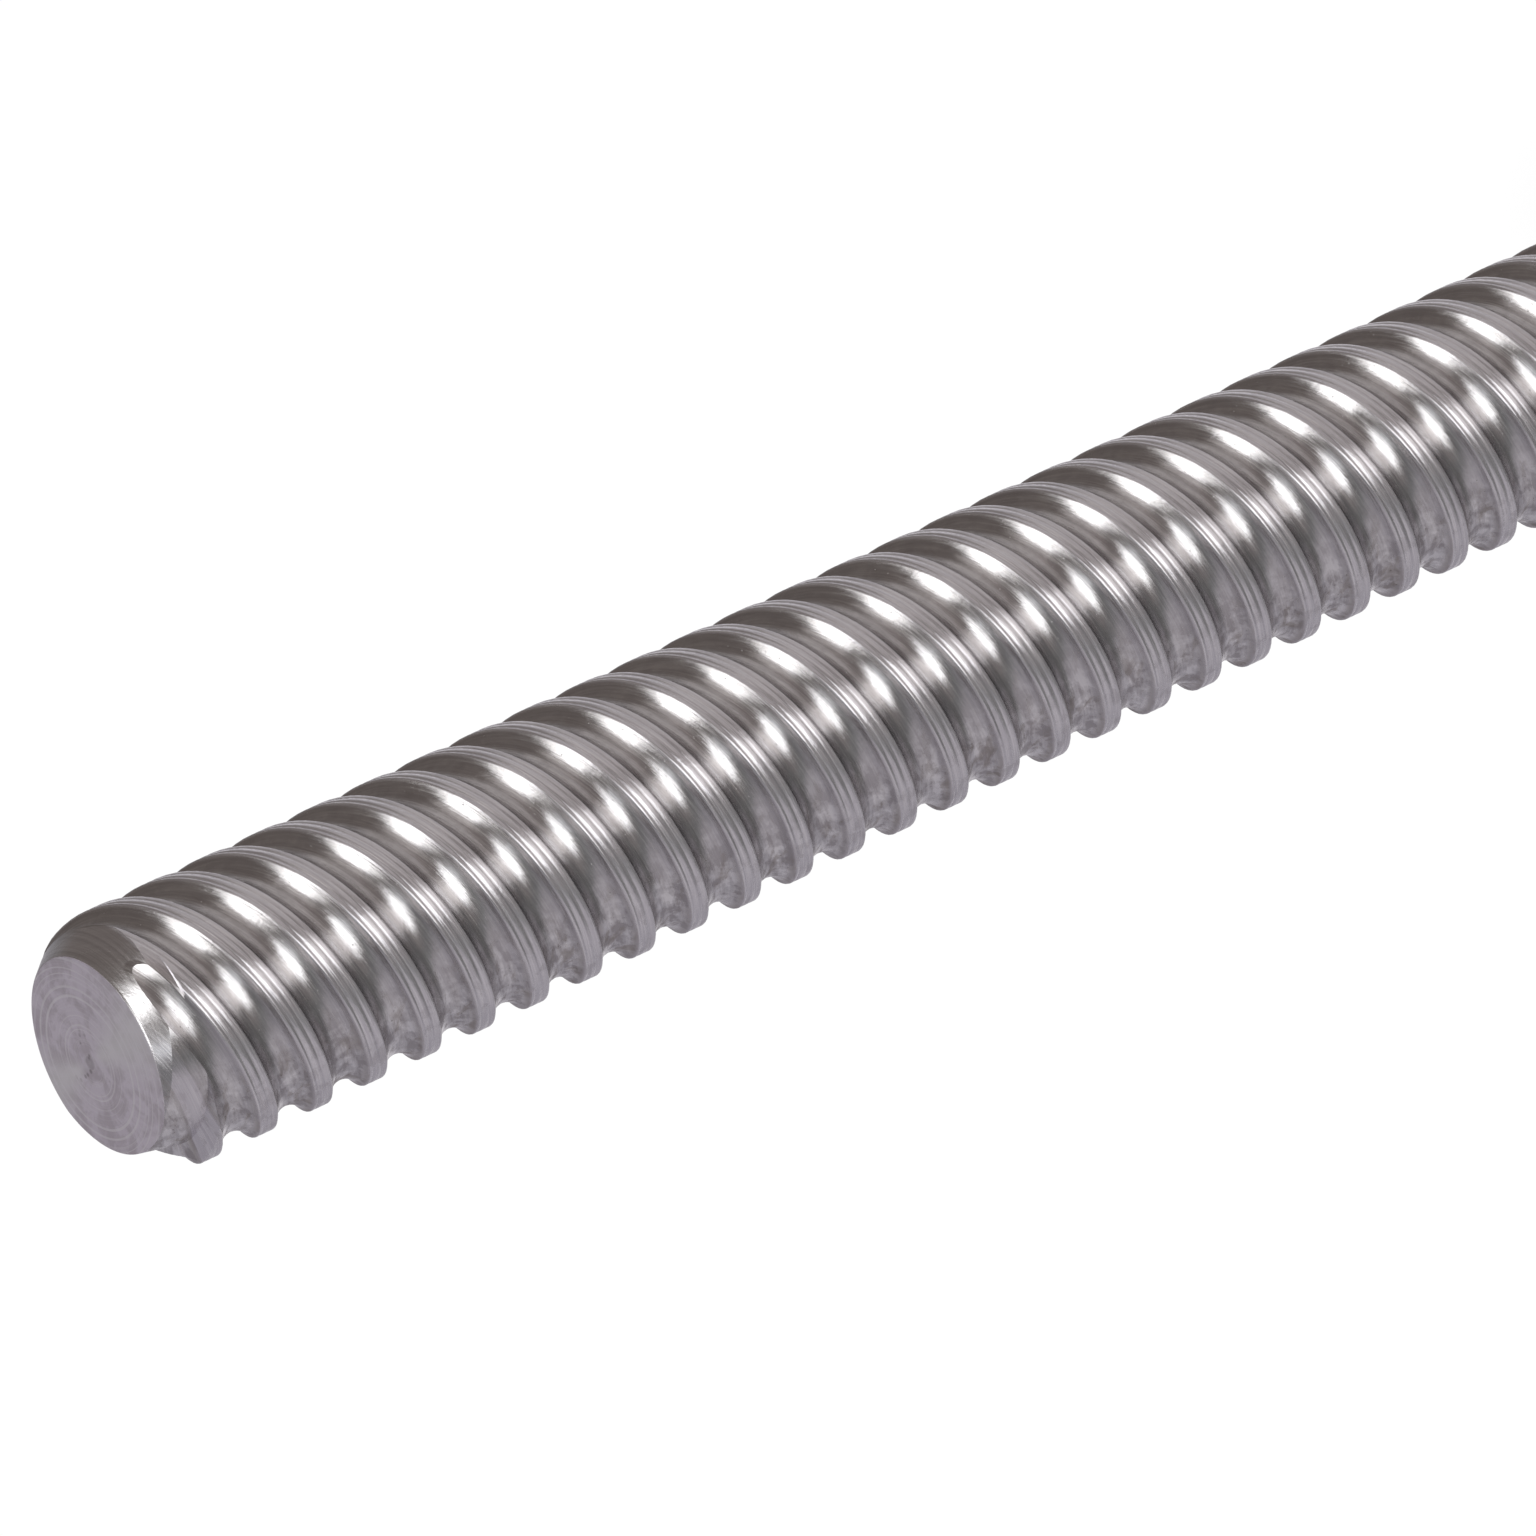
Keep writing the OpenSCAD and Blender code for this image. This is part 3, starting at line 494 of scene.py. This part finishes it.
def revolve_profile():
    pts = [(-2.0, 0.0), (-2.0, 10.6), (THREAD - 1.75, 10.6), (THREAD, 8.5), (THREAD, 7.62), (THREAD + 0.18, 7.5), (270.8, 7.5), (271.0, 7.38)]
    z = 271.35
    while z < 283.0:
        pts += [(z, 7.38), (z + 0.12, 7.38), (z + 0.47, 6.86), (z + 0.57, 6.86), (z + 0.92, 7.38)]
        z += 1.0
    pts += [(283.6, 7.38), (283.95, 7.05), (283.95, 6.12), (284.1, 6.0), (305.5, 6.0), (306.29, 5.22), (306.29, 1.54), (303.8, 0.0)]
    out = [pts[0]]
    for p in pts[1:]:
        if abs(p[0] - out[-1][0]) + abs(p[1] - out[-1][1]) > 1e-4:
            out.append(p)
    return out


def revolve(pts, N=144, name="rev_tmp"):
    verts, faces, ring = [], [], []
    for z, r in pts:
        if r < 1e-6:
            ring.append([len(verts)])
            verts.append(place(np.array(z), np.array(0.0), np.array(0.0)).tolist())
        else:
            a = 2 * np.pi * (np.arange(N) + 0.5) / N
            ring.append(list(range(len(verts), len(verts) + N)))
            verts += place(z + 0 * a, r + 0 * a, a).tolist()
    for A, B in zip(ring, ring[1:]):
        for k in range(N):
            k2 = (k + 1) % N
            if len(A) == 1:
                faces.append((A[0], B[k2], B[k]))
            elif len(B) == 1:
                faces.append((A[k], A[k2], B[0]))
            else:
                faces.append((A[k], A[k2], B[k2], B[k]))
    return mesh_from(name, verts, faces)


def outward(o):
    bm = bmesh.new()
    bm.from_mesh(o.data)
    bmesh.ops.recalc_face_normals(bm, faces=bm.faces)
    if bm.calc_volume(signed=True) < 0:
        bmesh.ops.reverse_faces(bm, faces=bm.faces)
    bad = sum(1 for e in bm.edges if not e.is_manifold)
    bm.to_mesh(o.data)
    bm.free()
    return bad


def build_shaft():
    hx, zlo, zhi = helix_solid()
    rv = revolve(revolve_profile())
    ns = revolve([(0.0, 0.0)] + CHAMFER + [(LEN + 20.0, 11.4), (LEN + 20.0, 0.0)], name="nose_tmp")
    n2 = revolve([(-1.0, 0.0), (-1.0, 8.37)] + RELIEF + [(LEN + 20.0, 13.4), (LEN + 20.0, 0.0)], name="relief_tmp")
    n2.location = (0, NOSE_C[0] / 1000, NOSE_C[1] / 1000)
    outward(ns)
    outward(n2)
    b1, b2 = outward(hx), outward(rv)
    print("SHAFT open edges", b1, b2, "helix z", round(zlo, 1), round(zhi, 1))
    mod = hx.modifiers.new("cut", "BOOLEAN")
    mod.operation, mod.object = "INTERSECT", rv
    mod2 = hx.modifiers.new("nose", "BOOLEAN")
    mod2.operation, mod2.object = "INTERSECT", ns
    mod3 = hx.modifiers.new("relief", "BOOLEAN")
    mod3.operation, mod3.object = "INTERSECT", n2
    for q in (mod, mod2, mod3):
        try:
            q.solver = "MANIFOLD"
        except TypeError:
            q.solver = "EXACT"
    bpy.context.view_layer.update()
    dg = bpy.context.evaluated_depsgraph_get()
    me = bpy.data.meshes.new_from_object(hx.evaluated_get(dg))
    bpy.data.objects.remove(hx)
    bpy.data.objects.remove(rv)
    bpy.data.objects.remove(ns)
    bpy.data.objects.remove(n2)
    o = bpy.data.objects.new("screw_shaft_fine", me)
    coll.objects.link(o)
    bm = bmesh.new()
    bm.from_mesh(me)
    bmesh.ops.remove_doubles(bm, verts=bm.verts, dist=2e-6)
    bmesh.ops.dissolve_degenerate(bm, edges=bm.edges, dist=1e-6)
    bmesh.ops.triangulate(bm, faces=[f for f in bm.faces if len(f.verts) > 4])
    bm.to_mesh(me)
    bm.free()
    # exact normals: from the thread's own slope, or from the turned surface
    nl, nv, npoly = len(me.loops), len(me.vertices), len(me.polygons)
    co = np.empty(nv * 3); me.vertices.foreach_get("co", co); co = co.reshape(-1, 3)
    lv = np.empty(nl, np.int32); me.loops.foreach_get("vertex_index", lv)
    ls = np.empty(npoly, np.int32); me.polygons.foreach_get("loop_start", ls)
    lt = np.empty(npoly, np.int32); me.polygons.foreach_get("loop_total", lt)
    pc = np.empty(npoly * 3); me.polygons.foreach_get("center", pc); pc = pc.reshape(-1, 3)
    pn = np.empty(npoly * 3); me.polygons.foreach_get("normal", pn); pn = pn.reshape(-1, 3)

    def cylc(p):
        z = p[:, 0] * 1000 - X0
        y, d = p[:, 1] * 1000, H - p[:, 2] * 1000
        return z, np.hypot(y, d), np.arctan2(y, d)

    z, rho, a = cylc(pc)
    wc = z - LEAD * (a - math.radians(PHI)) / (2 * np.pi)
    dr = dprof(wc)
    ex = np.array([1.0, 0, 0])

    def frame_at(a):
        er = np.stack([0 * a, np.sin(a), -np.cos(a)], -1)
        ea = np.stack([0 * a, np.cos(a), np.sin(a)], -1)
        return er, ea

    er, ea = frame_at(a)
    hn = er - dr[:, None] * ex + (dr * LEAD / (2 * np.pi) / np.maximum(rho, 1))[:, None] * ea
    hn /= np.linalg.norm(hn, axis=1, keepdims=True)
    on = (np.abs(rho - prof(wc)) < 0.05) & ((hn * pn).sum(1) > 0.80) & (z < THREAD)
    face_of = np.repeat(np.arange(npoly), lt)
    vz, vr, va = cylc(co[lv])
    ver, vea = frame_at(va)
    vw = vz - LEAD * (va - math.radians(PHI)) / (2 * np.pi)
    vd = dprof(vw)
    nh = ver - vd[:, None] * ex + (vd * LEAD / (2 * np.pi) / np.maximum(vr, 1))[:, None] * vea
    # turned surfaces: the nose has its own centre, the journals the shaft's
    off = np.hypot(pc[:, 1] * 1000 - NOSE_C[0], pc[:, 2] * 1000 - H - NOSE_C[1])
    lim = np.interp(z, [p[0] for p in RELIEF], [p[1] for p in RELIEF])
    isn = (z < 3.9) & ~on & (np.abs(off - lim) < np.abs(rho - np.interp(z, [p[0] for p in CHAMFER], [p[1] for p in CHAMFER])))

    def radial(p):
        y, d = p[:, 1] * 1000 - NOSE_C[0], p[:, 2] * 1000 - H - NOSE_C[1]
        k = np.maximum(np.hypot(y, d), 1e-6)
        return np.stack([0 * y, y / k, d / k], -1)

    er2 = np.where(isn[:, None], radial(pc), er)
    ver = np.where(isn[face_of][:, None], radial(co[lv]), ver)
    fr = (pn * er2).sum(1)[face_of]
    fx = pn[:, 0][face_of]
    nr = fr[:, None] * ver + fx[:, None] * ex
    flat = (vr < 0.01) | (np.abs(fx) > 0.999)
    nr[flat] = pn[face_of][flat]
    n = np.where(on[face_of][:, None], nh, nr)
    n /= np.maximum(np.linalg.norm(n, axis=1, keepdims=True), 1e-9)
    me.polygons.foreach_set("use_smooth", np.ones(npoly, bool))
    me.normals_split_custom_set(n.tolist())
    me.update()
    print("SHAFT faces", npoly, "on thread", int(on.sum()), "tris", int((lt - 2).sum()))
    me.materials.clear()
    me.materials.append(MATS["screw_steel"])
    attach(o, "screw")
    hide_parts("screw_shaft")
    return o


shaft = build_shaft()


# ---------------------------------------------------------------- finer versions of the hard parts, edges broken as machined
def refine(node, width, segs=2, limit=32.0, keep=None, merge=True):
    src = frame["nodes"][node]
    me = src.data.copy()
    bm = bmesh.new()
    bm.from_mesh(me)
    bmesh.ops.remove_doubles(bm, verts=bm.verts, dist=1e-6)
    if merge:
        bmesh.ops.dissolve_limit(bm, angle_limit=math.radians(0.4), verts=bm.verts, edges=bm.edges)
    edges = []
    for e in bm.edges:
        if len(e.link_faces) == 2 and e.calc_face_angle(0) > math.radians(limit):
            if keep is None or keep([v.co * 1000 for v in e.verts]):
                edges.append(e)
    before = bm.calc_volume()
    if edges:
        bmesh.ops.bevel(bm, geom=edges, offset=width / 1000, offset_type="OFFSET", segments=segs, profile=0.6,
                        affect="EDGES", clamp_overlap=True, loop_slide=True)
    after = bm.calc_volume()
    lo = Vector((min(v.co[i] for v in bm.verts) for i in range(3)))
    hi = Vector((max(v.co[i] for v in bm.verts) for i in range(3)))
    a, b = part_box(node)
    grown = max(max(a[i] - lo[i], hi[i] - b[i]) for i in range(3))
    ok = abs(after - before) < 0.06 * abs(before) and grown < 2e-5 and after * before > 0
    bm.to_mesh(me)
    bm.free()
    # a merged face with holes in it can triangulate across a hole, which shows as extra area
    me.calc_loop_triangles()
    area = sum(t.area for t in me.loop_triangles) / sum(p.area for p in src.data.polygons)
    ok = ok and 0.9 < area < 1.02
    print("REFINE", node, "edges", len(edges), "volume ratio", round(after / before, 4), "area ratio", round(area, 4),
          "ok" if ok else "RETRY" if merge else "KEPT AS CAD")
    if not ok:
        bpy.data.meshes.remove(me)
        return refine(node, width, segs, limit, keep, False) if merge else None
    o = bpy.data.objects.new(node + "_fine", me)
    coll.objects.link(o)
    if me.has_custom_normals:
        me.normals_split_custom_set([(0, 0, 0)] * len(me.loops))
    me.polygons.foreach_set("use_smooth", np.ones(len(me.polygons), bool))
    me.set_sharp_from_angle(angle=math.radians(38))
    wn = o.modifiers.new("wn", "WEIGHTED_NORMAL")
    wn.keep_sharp = True
    me.materials.clear()
    me.materials.append(MATS[NODE_SLOT[node]])
    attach(o, BODY[node])
    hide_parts(node)
    return o


def outside(r):
    return lambda ps: all(math.hypot(p.y, p.z - H) > r for p in ps)


REFINE = [
    ("nut_body", 0.35, outside(13.2)), ("front_end_cap", 0.25, outside(12.5)), ("rear_end_cap", 0.25, outside(12.5)),
    ("front_cap_screws", 0.12, None), ("rear_cap_screws", 0.12, None), ("grease_plug", 0.15, None),
    ("bearing_housing", 0.5, None), ("retainer_cover", 0.4, None), ("cover_screws", 0.25, None),
    ("front_collar", 0.3, None), ("rear_collar", 0.3, None), ("lock_nut", 0.3, None), ("lock_nut_screws", 0.15, None),
]
fine = {n: refine(n, w, keep=k) for n, w, k in REFINE}


# ---------------------------------------------------------------- camera at the measured viewpoint
th, ph, f, u0, v0, px = 1.0216, 0.4383, 13125.2, 97.50, 1058.64, 139.24
Z0 = f / px * 0.010
sa = math.sin(th) * math.cos(ph)
ca = math.sqrt(1 - sa * sa)
el = math.atan2(math.sin(th) * math.sin(ph), math.cos(th))
right = Vector((sa, -ca, 0))
hf = Vector((ca, sa, 0))
fwd = hf * math.cos(el) - Vector((0, 0, 1)) * math.sin(el)
cup = right.cross(fwd)
C = ((u0 - 768) / f * Z0, (v0 - 768) / f * Z0, Z0)
end = Vector((X0 / 1000, 0, H / 1000))
loc = end - (C[0] * right - C[1] * cup + C[2] * fwd)
cam_data = bpy.data.cameras.new("camera")
cam = bpy.data.objects.new("camera", cam_data)
coll.objects.link(cam)
cam_data.sensor_fit = "HORIZONTAL"
cam_data.sensor_width = 36.0
cam_data.lens = 36.0 * f / 1536.0
cam_data.clip_start, cam_data.clip_end = 0.01, 20.0
m = Matrix((right, cup, -fwd)).transposed().to_4x4()
m.translation = loc
cam.matrix_world = m
scene.camera = cam


# ---------------------------------------------------------------- plain pale floor, with a painted contact shadow near the support
def make_floor():
    n, size = 24, 3.0
    bm = bmesh.new()
    bmesh.ops.create_grid(bm, x_segments=n, y_segments=n, size=size)
    me = bpy.data.meshes.new("floor")
    bm.to_mesh(me)
    bm.free()
    o = bpy.data.objects.new("floor", me)
    coll.objects.link(o)
    o.location = (0, 0, -0.0002)
    mat = bpy.data.materials.new("floor_mat")
    mat.use_nodes = True
    g = Graph(mat.node_tree)
    out = g.node("ShaderNodeOutputMaterial")
    pos = g.node("ShaderNodeNewGeometry").outputs["Position"]
    x, y, z = g.xyz(pos)
    # painted shadow: ambient occlusion darkens the colour the floor emits to the camera, near the support only;
    # elsewhere the camera sees an even white
    ao = g.node("ShaderNodeAmbientOcclusion", props={"samples": 12}, Distance=0.075).outputs["AO"]
    tone = g.noise(g.v("SCALE", pos, scale=60.0), 1.0, 3.0)
    painted_shade = g.m("MULTIPLY", g.m("POWER", ao, 0.9), g.step(tone, 0.2, 0.8, 0.985, 1.0))
    painted_shade = g.step(painted_shade, 0.0, 1.0, 0.42, 1.0)
    dx = g.m("MAXIMUM", g.m("SUBTRACT", g.m("ABSOLUTE", g.m("SUBTRACT", x, 0.022)), 0.045), 0.0)
    dyy = g.m("MAXIMUM", g.m("SUBTRACT", g.m("ABSOLUTE", y), 0.040), 0.0)
    far = g.m("SQRT", g.m("ADD", g.m("MULTIPLY", dx, dx), g.m("MULTIPLY", dyy, dyy)))
    near = g.step(far, 0.042, 0.012)
    seen = g.fmix(near, 1.02, g.m("MULTIPLY", painted_shade, 1.0))
    cam_col_with_painted_shadow = g.mix(near, rgb(1.02, 1.02, 1.02), g.comb(g.m("MULTIPLY", seen, 1.0), g.m("MULTIPLY", seen, 0.998), g.m("MULTIPLY", seen, 1.0)))
    cam_em = g.node("ShaderNodeEmission", Color=cam_col_with_painted_shadow, Strength=1.0).outputs[0]
    inc = g.v("SCALE", g.node("ShaderNodeNewGeometry").outputs["Incoming"], scale=-1.0)
    oth_em = g.node("ShaderNodeEmission", Color=studio(g, inc), Strength=1.0).outputs[0]
    lp = g.node("ShaderNodeLightPath").outputs["Is Camera Ray"]
    mixs = g.node("ShaderNodeMixShader", i0=lp, i1=oth_em, i2=cam_em).outputs[0]
    g.t.links.new(mixs, out.inputs[0])
    me.materials.append(mat)
    return o


# ---------------------------------------------------------------- soft studio light, as soft lobes round the object
def direction(az, el):
    a, e = math.radians(az), math.radians(el)
    return Vector((math.cos(a) * math.cos(e), math.sin(a) * math.cos(e), math.sin(e)))


def studio(g, d):
    """Colour of the studio seen along unit direction d: soft lights, dim surroundings, pale table."""
    x, y, z = g.xyz(d)

    def lobe(az, el, a, b):
        """1 inside a degrees of a direction, 0 beyond b degrees."""
        t = g.v("DOT_PRODUCT", d, tuple(direction(az, el)))
        return g.step(t, math.cos(math.radians(b)), math.cos(math.radians(a)))

    def panel(az, el, roll, hw, hh, soft_w, soft_h):
        """A soft-edged rectangle facing the object, half sizes and edge softness in degrees."""
        c = direction(az, el)
        e = Vector((-math.sin(math.radians(az)), math.cos(math.radians(az)), 0))
        u = c.cross(e)
        r = math.radians(roll)
        e2 = e * math.cos(r) + u * math.sin(r)
        u2 = -e * math.sin(r) + u * math.cos(r)
        dc = g.v("DOT_PRODUCT", d, tuple(c))
        tu = g.m("MULTIPLY", g.m("ARCTAN2", g.v("DOT_PRODUCT", d, tuple(e2)), dc), 180 / math.pi)
        tv = g.m("MULTIPLY", g.m("ARCTAN2", g.v("DOT_PRODUCT", d, tuple(u2)), dc), 180 / math.pi)
        inu = g.step(g.m("ABSOLUTE", tu), hw + soft_w, hw - soft_w)
        inv = g.step(g.m("ABSOLUTE", tv), hh + soft_h, hh - soft_h)
        return g.m("MULTIPLY", g.m("MULTIPLY", inu, inv), g.m("GREATER_THAN", dc, 0.0))

    def over(col, mask, c, k=1.0):
        return g.mix(g.m("MULTIPLY", mask, k), col, rgb(*c))

    sky = g.mix(g.step(z, 0.2, 0.98), rgb(0.238, 0.217, 0.212), rgb(0.236, 0.201, 0.194))
    low = g.mix(g.step(z, -0.12, -0.75), rgb(0.235, 0.230, 0.235), rgb(0.364, 0.345, 0.378))
    col = g.mix(g.step(z, -0.12, 0.14), low, sky)
    col = over(col, lobe(-85, -42, 18, 50), (0.46, 0.435, 0.46), 0.85)        # table in front catches light
    col = over(col, lobe(50, 28, 12, 40), (0.46, 0.445, 0.455), 0.8)          # pale wall beyond the drive end
    col = over(col, lobe(122, 34, 34, 66), (0.150, 0.130, 0.120), 0.95)       # dark room behind
    col = over(col, panel(-90, -4, 0, 62, 7, 18, 11), (0.165, 0.168, 0.165), 0.9)
    col = over(col, lobe(-30, -4, 12, 36), (0.135, 0.132, 0.130), 0.95)
    col = over(col, lobe(34, -17, 14, 38), (0.86, 0.83, 0.86), 0.85)          # bright table edge behind
    col = over(col, lobe(24, 54, 14, 36), (0.46, 0.43, 0.42), 0.9)            # pale ceiling beyond the drive end
    col = over(col, panel(-148, 34, -20, 6, 40, 8, 12), (0.19, 0.175, 0.165), 0.85)
    col = over(col, panel(-100, 64, 0, 34, 6, 20, 8), (0.175, 0.16, 0.15), 0.7)
    col = over(col, lobe(-172, 70, 6, 26), (0.70, 0.66, 0.64), 0.75)
    col = over(col, panel(-141, 12, 44, 14, 6, 12, 7), (1.00, 1.03, 1.05), 0.75)   # the strip light's left end bends down
    col = over(col, panel(-62, 37, 0, 35, 10, 16, 8), (1.12, 1.07, 1.05))
    col = over(col, panel(-34, 31, -20, 18, 6, 12, 7), (0.86, 0.81, 0.79), 0.85)
    col = over(col, panel(-105, 31, 8, 22, 15, 13, 7), (2.1, 2.12, 2.12))
    col = over(col, panel(-175, 25, -10, 11, 28, 7, 8), (2.6, 2.6, 2.57))
    return col


def make_world():
    w = bpy.data.worlds.new("studio")
    scene.world = w
    w.use_nodes = True
    g = Graph(w.node_tree)
    out = g.node("ShaderNodeOutputWorld")
    d = g.v("NORMALIZE", g.node("ShaderNodeTexCoord").outputs["Generated"])
    bg = g.node("ShaderNodeBackground", Color=studio(g, d), Strength=1.0).outputs[0]
    white = g.node("ShaderNodeBackground", Color=rgb(1.02, 1.02, 1.02), Strength=1.0).outputs[0]
    lp = g.node("ShaderNodeLightPath").outputs["Is Camera Ray"]
    mixs = g.node("ShaderNodeMixShader", i0=lp, i1=bg, i2=white).outputs[0]
    g.t.links.new(mixs, out.inputs[0])
    w.cycles.sampling_method = "MANUAL"
    w.cycles.sample_map_resolution = 512


make_floor()
make_world()
scene.view_settings.view_transform = "Standard"
scene.view_settings.look = "None"
